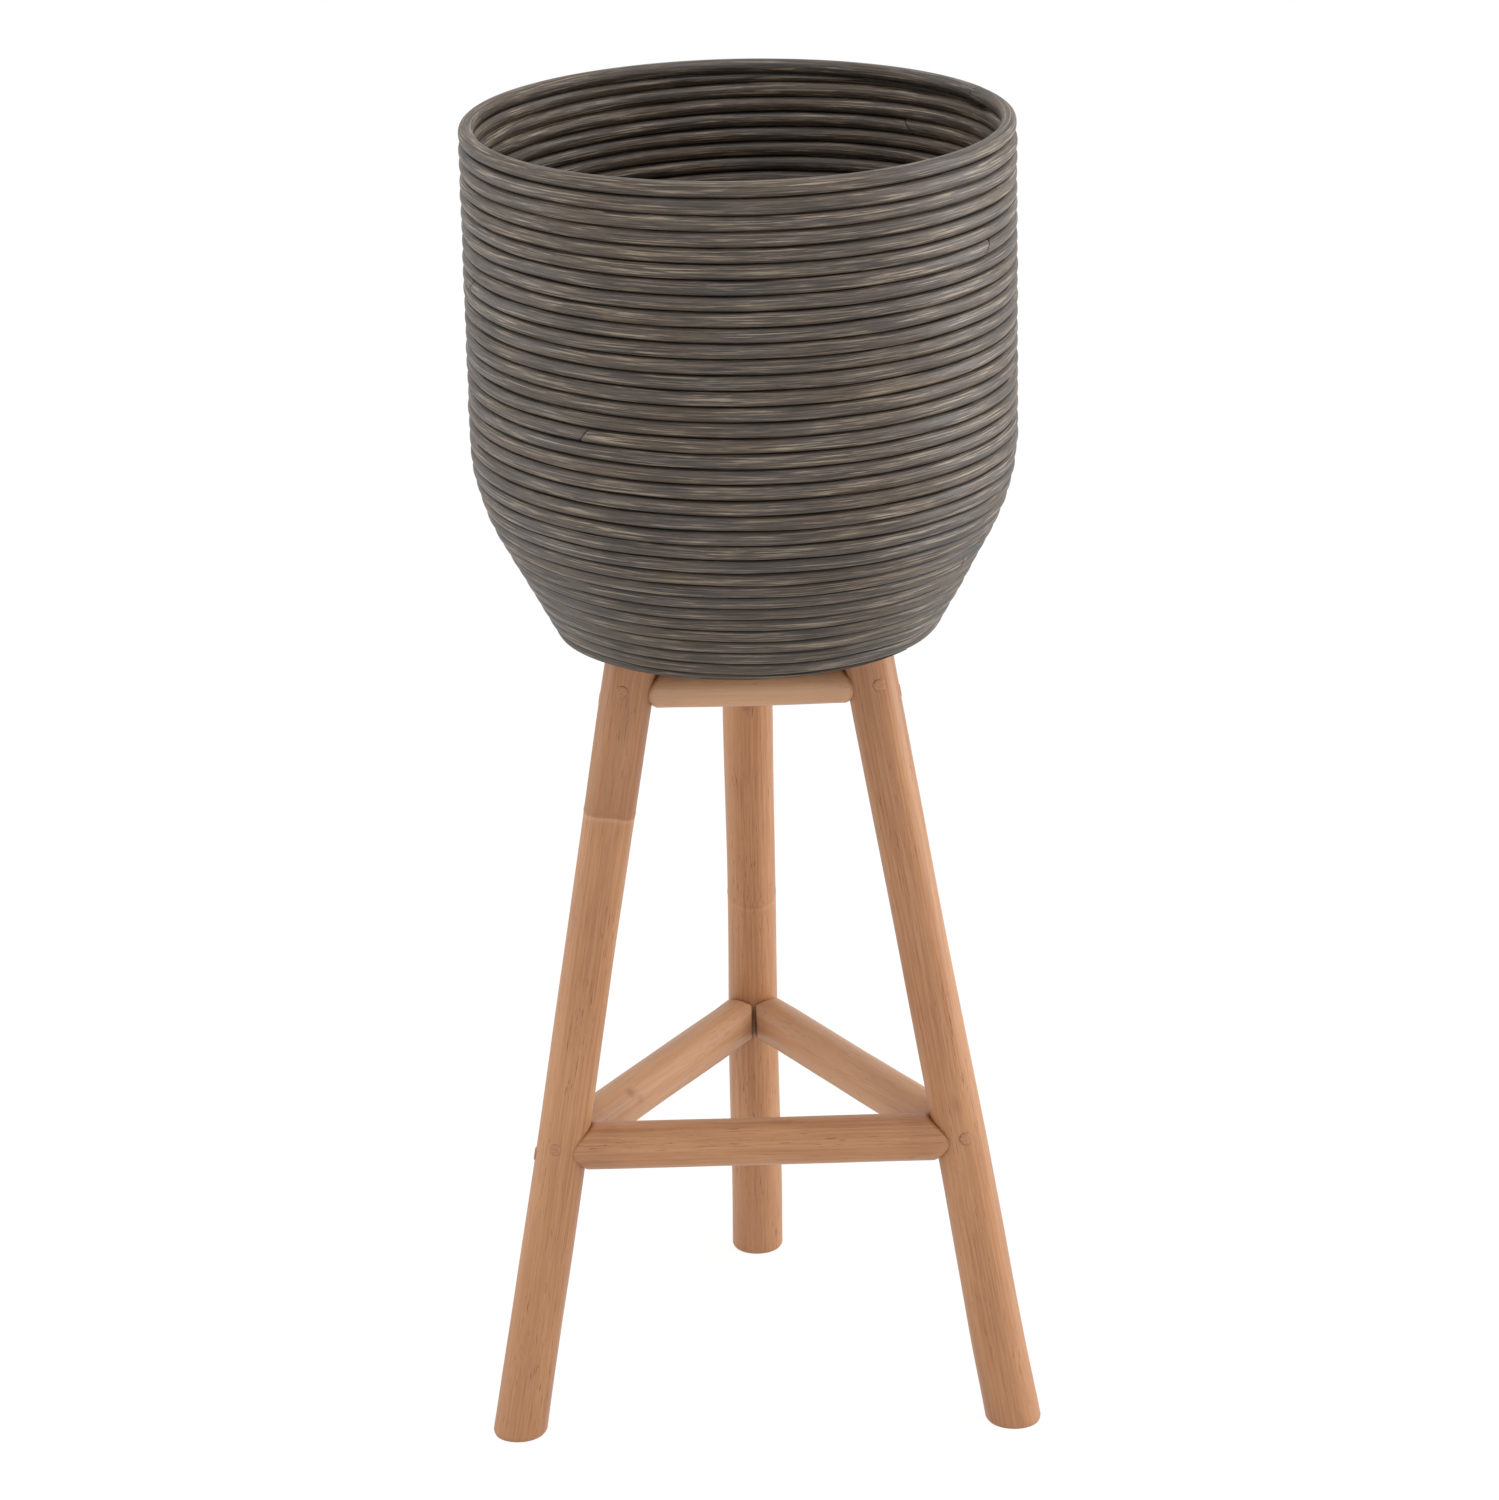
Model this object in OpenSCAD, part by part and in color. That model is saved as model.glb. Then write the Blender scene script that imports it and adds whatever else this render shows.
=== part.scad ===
// A floor planter: a bowl of wound rattan cane, screwed to a stand of three leaning poles.
// The wall is one slow winding that falls by one cane a turn, made of several lengths end to end.
// Built in millimetres, feet on z = 0, with the origin in the middle of the planter's footprint.

/* [Bowl] */
// Outside diameter of the bowl's upright upper wall
bowl_d = 357; // [320:1:420]
// Height of the bowl from its underside to the top of its rim
bowl_h = 337; // [280:1:420]
// Outside diameter of the wall at the bowl's underside
base_d = 253; // [220:1:280]
// How far the lower wall leans out from upright, in degrees
wall_lean = 28; // [22:1:34]
// Outside radius of the shoulder between the lower wall and the upright wall
shoulder_r = 140; // [90:1:170]
// Thickness of the round board that is the bowl's floor
board_t = 9; // [6:0.5:15]
// Clearance between the board's bevelled edge and the canes round it
board_gap = 0.3; // [0.2:0.05:0.6]

/* [Cane] */
// Diameter of the cane wound into the wall
cane_d = 9.6; // [7:0.1:13]
// Clearance between one turn of cane and the next
cane_gap = 0.42; // [0.41:0.01:0.7]
// Diameter of the single cane that makes the rim
rim_d = 10; // [8:0.1:15]
// Clearance between the rim cane and the shaved top of the winding
rim_gap = 0.2; // [0.1:0.05:0.5]
// How far below the rim's seat the top turn starts at its left end, in front of its shaved stretch
first_drop = 0.3; // [0.2:0.05:0.8]
// Thickness that is left at the shaved top end of the winding
top_tip_t = 1.6; // [1.2:0.1:4]
// Thickness that is left at the shaved bottom end of the winding
low_tip_t = 2.5; // [1.5:0.1:4]
// Share of a turn's fall that is made round the front, in the top turn
top_front_share = 0.15; // [0.1:0.01:0.9]
// Share of a turn's fall that is made round the front, in the bottom turn
low_front_share = 0.6; // [0.1:0.01:0.9]
// Slant of the cut where two lengths of cane meet, in degrees from square
joint_slant = 40; // [0:1:50]
// Clearance in the cut where two lengths of cane meet
joint_gap = 0.3; // [0.2:0.05:0.6]
// Direction of the joint in the rim cane, in degrees round from the front towards the right
rim_joint_at = 115; // [0:1:360]

/* [Brads] */
// Diameter of the brads that pin each turn to the one below
brad_d = 1.2; // [0.8:0.1:1.8]
// Length of the wall's brads
brad_l = 14; // [11:0.5:15]
// Number of brads in the wall
wall_brads_n = 101; // [60:1:140]
// Length of the brads that pin the rim to the wall
rim_brad_l = 15; // [12:0.5:18]
// Number of brads in the rim
rim_brads_n = 8; // [4:1:12]
// How deep the heads of the rim's brads are set below its surface
brad_set = 0.8; // [0.3:0.1:1.5]
// Clearance round a brad
brad_gap = 0.06; // [0.04:0.01:0.15]

/* [Stand] */
// Height of the stand up to the bowl's underside
stand_h = 543; // [400:1:650]
// Diameter of the three leg poles
leg_d = 34.5; // [28:0.5:42]
// Radius of the circle on which the middles of the feet stand
foot_circle_r = 193; // [150:1:230]
// Radius of the circle on which the tops of the legs stand
top_circle_r = 86.5; // [75:0.5:92]
// Diameter of the three top rails
top_rail_d = 23.5; // [20:0.5:28]
// How far the middle of the top rails lies below the bowl
top_rail_drop = 32.5; // [30:0.5:60]
// Diameter of the three lower rails
low_rail_d = 32; // [28:0.5:36]
// Height of the middle of the lower rails above the floor
low_rail_z = 200.5; // [140:0.5:300]
// Clearance in the glued joints between the poles
pole_gap = 0.2; // [0.1:0.05:0.4]

/* [Screws and plugs] */
// Diameter of the screws that hold the rails to the legs
screw_d = 4; // [3:0.5:5]
// Length of those screws under the head
screw_l = 50; // [42:1:60]
// How deep the rail screws are sunk into the legs, down to the underside of the head
screw_sink = 9.5; // [8:0.5:11]
// How far a rail screw lies above or below the middle of its rail
screw_rise = 4.5; // [4.2:0.1:5.5]
// How far the two rear rails' screws are moved in towards the mitre, at the front legs
screw_shift = 5; // [0:0.5:6]
// Diameter of the wooden plugs over the rail screws
plug_d = 8; // [8:0.5:9]
// How far the plugs stand proud of the leg
plug_proud = 0.5; // [0.2:0.1:1]
// Diameter of the screws that hold the bowl's floor to the legs
base_screw_d = 4.5; // [3.5:0.5:5]
// Length of those screws, heads included
base_screw_l = 32; // [26:1:36]
// How deep their countersunk heads lie below the floor's top
base_screw_set = 0.4; // [0.2:0.1:1]
// Clearance round screws and plugs, on the radius
screw_gap = 0.1; // [0.06:0.01:0.2]

/* [Hidden] */
// Where the lengths of cane meet, as shares of the winding from its top end
joint_shares = [0.091, 0.1733, 0.2508, 0.3545, 0.4609, 0.5633, 0.6794, 0.7937, 0.9172];
cane_count = len(joint_shares) + 1;
leg_names = ["leg_left", "leg_right", "leg_rear"];
side_names = ["front", "right", "left"];

// Width and depth of the fine ring that is left where one half turn of cane goes on as the next
hair = 0.1;
cane_fn = 20;
ring_fn = 120;
pole_fn = 64;
small_fn = 24;
cane_color = [0.42, 0.38, 0.33];
rim_color = [0.47, 0.43, 0.38];
board_color = [0.45, 0.36, 0.27];
pole_color = [0.80, 0.60, 0.44];
rail_color = [0.76, 0.55, 0.39];
plug_color = [0.62, 0.42, 0.29];
steel_color = [0.72, 0.73, 0.75];

// The wall's middle line, from under the rim down to the bowl's underside
pitch = cane_d + cane_gap;
rim_z = stand_h + bowl_h - rim_d / 2;
rim_r = (bowl_d - rim_d) / 2;
seat_z = rim_z - rim_d / 2 - rim_gap;
first_z = seat_z - cane_d / 2;
wall_r = (bowl_d - cane_d) / 2;
bend_r = shoulder_r - cane_d / 2;
lower_wall_h = (bowl_d / 2 - shoulder_r * (1 - cos(wall_lean)) - base_d / 2) / tan(wall_lean);
bend_z = stand_h + lower_wall_h + shoulder_r * sin(wall_lean);
upright_l = first_z - bend_z;
bend_l = bend_r * wall_lean * PI / 180;
base_l = upright_l + bend_l + (bend_z - bend_r * sin(wall_lean) - stand_h) / cos(wall_lean);
turn_count = base_l / pitch;

// Radius and height of the wall's middle line at a distance down it
function wall_at(s) =
    s < upright_l ? [wall_r, first_z - s]
    : s < upright_l + bend_l
        ? let (a = (s - upright_l) / bend_r * 180 / PI)
          [wall_r - bend_r * (1 - cos(a)), bend_z - bend_r * sin(a)]
        : let (t = s - upright_l - bend_l)
          [wall_r - bend_r * (1 - cos(wall_lean)) - t * sin(wall_lean),
           bend_z - bend_r * sin(wall_lean) - t * cos(wall_lean)];

// The winding is a chain of half turns. Even ones run round the front from left to right, odd ones
// round the back, and each is a level half circle tilted about the y axis, so that they join smoothly.
function front_share(k) =
    top_front_share + (low_front_share - top_front_share) * max(0, min(1, k / turn_count));
function is_front(h) = h == 2 * floor(h / 2);
function fall_at(h) =
    let (k = floor(h / 2))
    pitch * (k + (is_front(h) ? 0 : front_share(k))) + first_drop;
function end_of(h) =
    let (p = wall_at(fall_at(h)))
    [is_front(h) ? -p.x : p.x, p.y];
function left_end(h) = is_front(h) ? end_of(h) : end_of(h + 1);
function right_end(h) = is_front(h) ? end_of(h + 1) : end_of(h);
function half_mid(h) = (left_end(h) + right_end(h)) / 2;
function half_r(h) = norm(right_end(h) - left_end(h)) / 2;
function half_tilt(h) =
    let (d = right_end(h) - left_end(h))
    atan2(d.y, d.x);
function half_start(h) = is_front(h) ? 180 : 0;

// A point of the winding, by the number of turns from the left end of the top turn
function turn_point(u) =
    let (
        h = floor(2 * u),
        a = half_start(h) + (2 * u - h) * 180,
        m = half_mid(h),
        x = half_r(h) * cos(a)
    )
    [m.x + x * cos(half_tilt(h)), half_r(h) * sin(a), m.y + x * sin(half_tilt(h))];

// The number of turns at which the winding has come a given distance down the wall
function turns_at(s) =
    let (
        k = floor((s - first_drop) / pitch),
        h = 2 * k + (s < fall_at(2 * k + 1) ? 0 : 1),
        share = (s - fall_at(h)) / (fall_at(h + 1) - fall_at(h))
    )
    (h + acos(1 - 2 * share) / 180) / 2;

top_end = turns_at(top_tip_t - cane_d);
low_end = turns_at(base_l + (cane_d / 2 - low_tip_t) / cos(wall_lean));
winding = low_end - top_end;
cane_starts = concat([0], joint_shares, [1]);

// The top turn is shaved level for the rim, as far as the place where only this much would come off
shave_step = 0.08;
shave_end = turn_point(turns_at(-shave_step));
shave_end_angle = atan2(shave_end.y, shave_end.x);

function start_of(i) = top_end + winding * cane_starts[i - 1];
function degrees_at(u) = 360 * u - 90;

// The least gap between one turn and the next, measured from point to point all the way down
points_a_turn = 48;
pitches = [for (u = [top_end : 1 / points_a_turn : low_end - 1]) norm(turn_point(u + 1) - turn_point(u))];
echo(least_gap_between_turns = min(pitches) - cane_d);
echo(turns = winding, from = top_end, to = low_end, height = stand_h + bowl_h);

// The legs stand at these directions, and lean in towards the bowl
leg_at = [210, 330, 90];
leg_lean = atan((foot_circle_r - top_circle_r) / stand_h);
function leg_r_at(z) = foot_circle_r + (top_circle_r - foot_circle_r) * z / stand_h;

// Rail k runs between legs k and k + 1, and each of its ends has one screw.
// The signs say which screws lie above their rail's middle, and which are moved in to the mitre.
rise_signs = [[-1, -1], [1, -1], [1, 1]];
shift_signs = [[0, 0], [1, 0], [0, 1]];
side_turn = 120;
half_corner = 30;
top_rail_z = stand_h - top_rail_drop;
head_d_share = 1.85;
head_h_share = 0.65;
sunk_head_h_share = 0.5;
tip_l_share = 1.2;
tip_d_share = 0.3;
cross_l_share = 1.1;
cross_w_share = 0.25;
cross_depth_share = 0.3;
screw_head_h = head_h_share * screw_d;

// The brads' places in turns, spread evenly. They aren't a whole number a turn, so that no two meet
// head to tip. The shares are of the winding, from its top end.
first_brad_share = 0.02;
last_brad_share = 0.953;
brad_shares = [for (k = [0 : wall_brads_n - 1])
    first_brad_share + (last_brad_share - first_brad_share) * k / (wall_brads_n - 1)];
brad_turns = [for (share = brad_shares) top_end + winding * share];
brad_margin_share = 0.003;
// A brad is turned this much about itself, so that its facets start away from the cane's middle plane
brad_spin_angle = 50;
// The first rim brad's direction from the x axis, as a share of the angle between two
rim_brad_share = 0.5;

// The middle of the footprint lies behind the bowl's axis, because the rear foot reaches out furthest
rear_reach = foot_circle_r + leg_d / 2 / cos(leg_lean);
centre_y = (bowl_d / 2 - rear_reach) / 2;
far = 3 * (bowl_d + foot_circle_r);

// One half turn between two angles of its own, with its ends at the axis plane left a hair short
module half_turn(h, from, to) {
    m = half_mid(h);
    short = hair / half_r(h) * 180 / PI;
    start = max(from, short);
    end = min(to, 180 - short);
    translate([m.x, 0, m.y])
        rotate([0, -half_tilt(h), 0])
            rotate([0, 0, half_start(h) + start])
                rotate_extrude(angle = end - start, $fn = ring_fn)
                    translate([half_r(h), 0]) circle(d = cane_d, $fn = cane_fn);
}

// The core that carries the cane from one half turn into the next
module core(h) {
    translate([end_of(h).x, 0, end_of(h).y])
        rotate([90, 0, 0]) cylinder(d = cane_d - 2 * hair, h = cane_d / 2, center = true, $fn = cane_fn);
}

// Everything beyond a slanted cut, along the winding for side 1 and back along it for side -1
module beyond_cut(u, side) {
    translate(turn_point(u))
        rotate([0, 0, degrees_at(u)])
            rotate([0, joint_slant, 0])
                translate([side * (2 * cane_d + joint_gap / 2), 0, 0]) cube(4 * cane_d, center = true);
}

// How far a slanted cut reaches along the winding, in turns
function cut_reach(u) =
    (cane_d * (0.5 + tan(joint_slant) / 2)) / (2 * PI * norm([turn_point(u).x, turn_point(u).y]));

module wall_cane(i) {
    a = start_of(i);
    b = start_of(i + 1);
    u_from = i == 1 ? a : a - cut_reach(a);
    u_to = i == cane_count ? b : b + cut_reach(b);
    margin = winding * brad_margin_share;
    color(cane_color)
        difference() {
            for (h = [floor(2 * u_from) : ceil(2 * u_to) - 1])
                difference() {
                    union() {
                        half_turn(h, (2 * u_from - h) * 180, (2 * u_to - h) * 180);
                        if (h > 2 * u_from) core(h);
                    }
                    if (i > 1 && h <= 2 * (a + cut_reach(a))) beyond_cut(a, -1);
                    if (i < cane_count && h >= floor(2 * (b - cut_reach(b)))) beyond_cut(b, 1);
                }
            if (i == 1)
                rotate([0, 0, shave_end_angle])
                    translate([-far, -far, seat_z]) cube([2 * far, far, 2 * cane_d]);
            if (i == cane_count)
                translate([-far / 2, -far / 2, stand_h - 2 * cane_d]) cube([far, far, 2 * cane_d]);
            for (u = brad_turns)
                if (u > a - 1 - margin && u < b + margin) wall_brad(u, brad_gap);
            if (i == 1) rim_brad_set(brad_gap);
        }
}

// A brad starts level with the top of one turn and ends inside the turn below
module wall_brad(u, gap) {
    p = turn_point(u);
    d = turn_point(u + 1) - p;
    translate(p - d / norm(d) * (cane_d / 2 + gap))
        rotate([0, acos(d.z / norm(d)), atan2(d.y, d.x)])
            rotate([0, 0, brad_spin_angle])
                cylinder(d = brad_d + 2 * gap, h = brad_l + 2 * gap, $fn = small_fn);
}

// With a gap they are the holes, open to the top of the rim
module rim_brad_set(gap) {
    for (k = [0 : rim_brads_n - 1])
        rotate([0, 0, (k + rim_brad_share) * 360 / rim_brads_n])
            translate([wall_r, 0, stand_h + bowl_h - brad_set - rim_brad_l - gap])
                cylinder(d = brad_d + 2 * gap, h = rim_brad_l + (gap > 0 ? rim_d : 0), $fn = small_fn);
}

module wall_brads() {
    color(steel_color) for (u = brad_turns) wall_brad(u, 0);
}

module rim_brads() {
    color(steel_color) rim_brad_set(0);
}

module rim_cane() {
    color(rim_color)
        difference() {
            translate([0, 0, rim_z])
                rotate_extrude($fn = ring_fn) translate([rim_r, 0]) circle(d = rim_d, $fn = cane_fn);
            rotate([0, 0, rim_joint_at - 90])
                translate([rim_r, 0, rim_z])
                    rotate([joint_slant, 0, 0]) cube([2 * rim_d, joint_gap, 3 * rim_d], center = true);
            rim_brad_set(brad_gap);
        }
}

// The board's edge is bevelled to seat in the narrowing wall
module base_board() {
    low_r = base_d / 2 - (cane_d + board_gap) / cos(wall_lean);
    color(board_color)
        difference() {
            translate([0, 0, stand_h])
                cylinder(r1 = low_r, r2 = low_r + board_t * tan(wall_lean), h = board_t, $fn = ring_fn);
            for (a = leg_at) base_screw(a, screw_gap);
        }
}

// A leg's pole before its ends are cut level, thickened by extra all round
module leg_pole(extra) {
    l = stand_h / cos(leg_lean) + 2 * leg_d;
    translate([foot_circle_r, 0, 0])
        rotate([0, -leg_lean, 0])
            translate([0, 0, -leg_d]) cylinder(d = leg_d + 2 * extra, h = l, $fn = pole_fn);
}

module leg(k) {
    color(pole_color)
        difference() {
            rotate([0, 0, leg_at[k]])
                intersection() {
                    leg_pole(0);
                    translate([0, -leg_d, 0]) cube([2 * foot_circle_r, 2 * leg_d, stand_h]);
                }
            rail_screw(k, 0, top_rail_z, screw_gap);
            rail_screw((k + 2) % 3, 1, top_rail_z, screw_gap);
            rail_screw(k, 0, low_rail_z, screw_gap);
            rail_screw((k + 2) % 3, 1, low_rail_z, screw_gap);
            base_screw(leg_at[k], screw_gap);
        }
}

// Places its children at one end of rail k, with x running from the leg's axis into the rail
module at_rail_end(k, end, z) {
    rotate([0, 0, side_turn * k])
        mirror([end, 0, 0])
            translate([-leg_r_at(z) * cos(half_corner), -leg_r_at(z) * sin(half_corner), z])
                translate([0, shift_signs[k][end] * screw_shift, rise_signs[k][end] * screw_rise])
                    rotate([0, 90, 0])
                        children();
}

// A pan-head screw that points up from the underside of its head. With a gap it is the screw's hole.
module pan_screw(d, l, gap) {
    head_d = head_d_share * d;
    head_h = head_h_share * d;
    difference() {
        union() {
            translate([0, 0, -head_h - gap])
                cylinder(d = head_d + 2 * gap, h = head_h + gap, $fn = small_fn);
            shank(d, l, gap);
        }
        if (gap == 0) translate([0, 0, -head_h]) head_cross(d);
    }
}

// A countersunk screw that points up from the top of its head, l long in all
module sunk_screw(d, l, gap) {
    head_d = head_d_share * d;
    head_h = sunk_head_h_share * d;
    difference() {
        union() {
            cylinder(d1 = head_d + 2 * gap, d2 = d + 2 * gap, h = head_h, $fn = small_fn);
            shank(d, l, gap);
            if (gap > 0)
                translate([0, 0, -l]) cylinder(d = head_d + 2 * gap, h = l, $fn = small_fn);
        }
        if (gap == 0) head_cross(d);
    }
}

module shank(d, l, gap) {
    tip_h = tip_l_share * d;
    cylinder(d = d + 2 * gap, h = l - tip_h, $fn = small_fn);
    translate([0, 0, l - tip_h])
        cylinder(d1 = d + 2 * gap, d2 = tip_d_share * d + 2 * gap, h = tip_h + gap, $fn = small_fn);
}

// The cross that a screwdriver turns, in the head of a screw of diameter d
module head_cross(d) {
    for (a = [0, 90])
        rotate([0, 0, a])
            cube([d * cross_l_share, d * cross_w_share, 2 * d * cross_depth_share], center = true);
}

// With a gap it is the screw's hole, and the counterbore that its plug closes
module rail_screw(k, end, z, gap) {
    at_rail_end(k, end, z)
        translate([0, 0, screw_sink - leg_d / 2]) {
            pan_screw(screw_d, screw_l, gap);
            if (gap > 0)
                translate([0, 0, -leg_d]) cylinder(d = plug_d + 2 * gap, h = leg_d, $fn = small_fn);
        }
}

module each_rail_end() {
    for (k = [0 : 2])
        for (end = [0, 1])
            for (z = [top_rail_z, low_rail_z]) {
                $k = k;
                $end = end;
                $z = z;
                children();
            }
}

module rail_screws() {
    color(steel_color) each_rail_end() rail_screw($k, $end, $z, 0);
}

// Each plug fills its counterbore down to the screw's head, and its outer end follows the leg
module screw_plugs() {
    inner_end = screw_sink - screw_head_h - screw_gap - leg_d / 2;
    color(plug_color)
        each_rail_end()
            intersection() {
                at_rail_end($k, $end, $z)
                    translate([0, 0, -leg_d]) cylinder(d = plug_d, h = leg_d + inner_end, $fn = small_fn);
                rotate([0, 0, leg_at[($k + $end) % 3]]) leg_pole(plug_proud);
            }
}

// The far corners of the wedge that belongs to one side of the stand, seen from above
function wedge_corner(side) = [side * far * cos(half_corner), -far * sin(half_corner)];

// A pole between two legs, coped round both and mitred against its neighbours
module rail(k, z, d) {
    half_l = leg_r_at(z) * cos(half_corner);
    color(rail_color)
        difference() {
            rotate([0, 0, side_turn * k])
                intersection() {
                    translate([-half_l, -leg_r_at(z) * sin(half_corner), z])
                        rotate([0, 90, 0]) cylinder(d = d, h = 2 * half_l, $fn = pole_fn);
                    translate([0, -pole_gap / 2 / cos(half_corner), z - d])
                        linear_extrude(2 * d)
                            polygon([[0, 0], wedge_corner(-1), wedge_corner(1)]);
                }
            for (a = [leg_at[k], leg_at[(k + 1) % 3]])
                rotate([0, 0, a]) leg_pole(pole_gap);
            rail_screw(k, 0, z, screw_gap);
            rail_screw(k, 1, z, screw_gap);
        }
}

// Its head is sunk in the board, and its point is in the end of the leg below
module base_screw(direction, gap) {
    rotate([0, 0, direction])
        translate([top_circle_r, 0, stand_h + board_t - base_screw_set])
            rotate([180, 0, 0]) sunk_screw(base_screw_d, base_screw_l, gap);
}

module base_screws() {
    color(steel_color) for (a = leg_at) base_screw(a, 0);
}

module in_frame() {
    translate([0, centre_y, 0]) children();
}

in_frame() rim_cane();
for (i = [1 : cane_count])
    in_frame() wall_cane(i);
in_frame() base_board();
for (k = [0 : 2]) {
    in_frame() leg(k);
    in_frame() rail(k, top_rail_z, top_rail_d);
    in_frame() rail(k, low_rail_z, low_rail_d);
}
in_frame() rail_screws();
in_frame() screw_plugs();
in_frame() base_screws();
in_frame() wall_brads();
in_frame() rim_brads();
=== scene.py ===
"""Looks for a standing planter: a bowl of wound grey rattan cane on a stand of leaning poles."""
import math

import bpy
import numpy as np
from mathutils import Matrix, Vector


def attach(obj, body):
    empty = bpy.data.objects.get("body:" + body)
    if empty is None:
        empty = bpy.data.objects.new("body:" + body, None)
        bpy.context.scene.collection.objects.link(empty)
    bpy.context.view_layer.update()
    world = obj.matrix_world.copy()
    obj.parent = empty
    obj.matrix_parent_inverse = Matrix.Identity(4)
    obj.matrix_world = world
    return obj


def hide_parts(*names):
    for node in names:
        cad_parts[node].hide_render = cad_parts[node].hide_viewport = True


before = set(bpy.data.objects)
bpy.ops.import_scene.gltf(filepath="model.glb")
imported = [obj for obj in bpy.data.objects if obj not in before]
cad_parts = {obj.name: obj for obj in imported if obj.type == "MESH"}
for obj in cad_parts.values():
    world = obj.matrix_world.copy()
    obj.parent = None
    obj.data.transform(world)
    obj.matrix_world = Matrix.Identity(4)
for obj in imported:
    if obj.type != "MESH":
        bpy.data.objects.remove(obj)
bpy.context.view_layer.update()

# The sizes of part.scad, in metres
BOWL_D, BOWL_H, BASE_D = 0.357, 0.337, 0.253
LEAN = math.radians(28)
SHOULDER_R = 0.140
CANE_D, CANE_GAP, RIM_D, RIM_GAP = 0.0096, 0.00042, 0.010, 0.0002
FIRST_DROP, TOP_TIP_T, LOW_TIP_T = 0.0003, 0.0016, 0.0025
TOP_SHARE, LOW_SHARE = 0.15, 0.6
JOINT_SLANT = math.radians(40)
RIM_JOINT_AT = 115
STAND_H, LEG_D, FOOT_R, TOP_R = 0.543, 0.0345, 0.193, 0.0865
TOP_RAIL_D, TOP_RAIL_Z, LOW_RAIL_D, LOW_RAIL_Z = 0.0235, 0.5105, 0.032, 0.2005
SCREW_RISE, SCREW_SHIFT, PLUG_D = 0.0045, 0.005, 0.008
JOINT_SHARES = [0.091, 0.1733, 0.2508, 0.3545, 0.4609, 0.5633, 0.6794, 0.7937, 0.9172]
LEG_AT = {"leg_left": 210, "leg_right": 330, "leg_rear": 90}
# How thick each leg is, as shares of LEG_D at even steps from its foot to its top
GIRTH = {"leg_left": [1.036, 1.005, 0.972, 0.954, 0.982, 1.015],
         "leg_right": [1.060, 1.028, 0.988, 0.950, 0.965, 0.970],
         "leg_rear": [1.050, 1.045, 1.000, 0.975, 1.005, 0.970]}
LEG_LEAN = math.atan((FOOT_R - TOP_R) / STAND_H)
REAR_REACH = FOOT_R + LEG_D / 2 / math.cos(LEG_LEAN)
AXIS = Vector((0, (BOWL_D / 2 - REAR_REACH) / 2, 0))


# ---------------------------------------------------------------- the wall's path
PITCH = CANE_D + CANE_GAP
RIM_Z = STAND_H + BOWL_H - RIM_D / 2
RIM_R = (BOWL_D - RIM_D) / 2
SEAT_Z = RIM_Z - RIM_D / 2 - RIM_GAP
FIRST_Z = SEAT_Z - CANE_D / 2
WALL_R = (BOWL_D - CANE_D) / 2
BEND_R = SHOULDER_R - CANE_D / 2
LOWER_H = (BOWL_D / 2 - SHOULDER_R * (1 - math.cos(LEAN)) - BASE_D / 2) / math.tan(LEAN)
BEND_Z = STAND_H + LOWER_H + SHOULDER_R * math.sin(LEAN)
UPRIGHT_L = FIRST_Z - BEND_Z
BEND_L = BEND_R * LEAN
BASE_L = UPRIGHT_L + BEND_L + (BEND_Z - BEND_R * math.sin(LEAN) - STAND_H) / math.cos(LEAN)
TURNS = BASE_L / PITCH
TURN_L = 2 * math.pi * WALL_R


def wall_at(s):
    """The wall's radius and height at a distance down its side: upright, then the shoulder, then the cone."""
    if s < UPRIGHT_L:
        return WALL_R, FIRST_Z - s
    if s < UPRIGHT_L + BEND_L:
        a = (s - UPRIGHT_L) / BEND_R
        return WALL_R - BEND_R * (1 - math.cos(a)), BEND_Z - BEND_R * math.sin(a)
    t = s - UPRIGHT_L - BEND_L
    return (WALL_R - BEND_R * (1 - math.cos(LEAN)) - t * math.sin(LEAN),
            BEND_Z - BEND_R * math.sin(LEAN) - t * math.cos(LEAN))


def fall_at(h):
    """How far down the side the winding is after h half turns. It falls more on one side than on the other."""
    k = h // 2
    share = TOP_SHARE + (LOW_SHARE - TOP_SHARE) * max(0, min(1, k / TURNS))
    return PITCH * (k + (h % 2) * share) + FIRST_DROP


def end_of(h):
    """Where half turn h starts, to the right or left of the axis, and how high."""
    r, z = wall_at(fall_at(h))
    return (r if h % 2 else -r), z


def turn_point(u):
    """The middle of the cane after u turns, on a tilted half circle between two of those ends."""
    h = math.floor(2 * u)
    a, b = end_of(h), end_of(h + 1)
    left, right = (b, a) if h % 2 else (a, b)
    mx, mz = (left[0] + right[0]) / 2, (left[1] + right[1]) / 2
    r = math.dist(left, right) / 2
    tilt = math.atan2(right[1] - left[1], right[0] - left[0])
    angle = math.radians((0 if h % 2 else 180) + (2 * u - h) * 180)
    x = r * math.cos(angle)
    return AXIS + Vector((mx + x * math.cos(tilt), r * math.sin(angle), mz + x * math.sin(tilt)))


def turns_at(s):
    """How many turns the winding has made where it is this far down the side."""
    k = math.floor((s - FIRST_DROP) / PITCH)
    h = 2 * k + (0 if s < fall_at(2 * k + 1) else 1)
    share = (s - fall_at(h)) / (fall_at(h + 1) - fall_at(h))
    return (h + math.degrees(math.acos(1 - 2 * share)) / 180) / 2


TOP_END = turns_at(TOP_TIP_T - CANE_D)
LOW_END = turns_at(BASE_L + (CANE_D / 2 - LOW_TIP_T) / math.cos(LEAN))
STARTS = [TOP_END + (LOW_END - TOP_END) * s for s in [0, *JOINT_SHARES, 1]]


# ---------------------------------------------------------------- meshes
# A wavy line's sines: their number, how far their lengths stray in octaves, and the least height of one
SINES, OCTAVES, LEAST_SINE = 7, 0.9, 0.4
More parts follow.
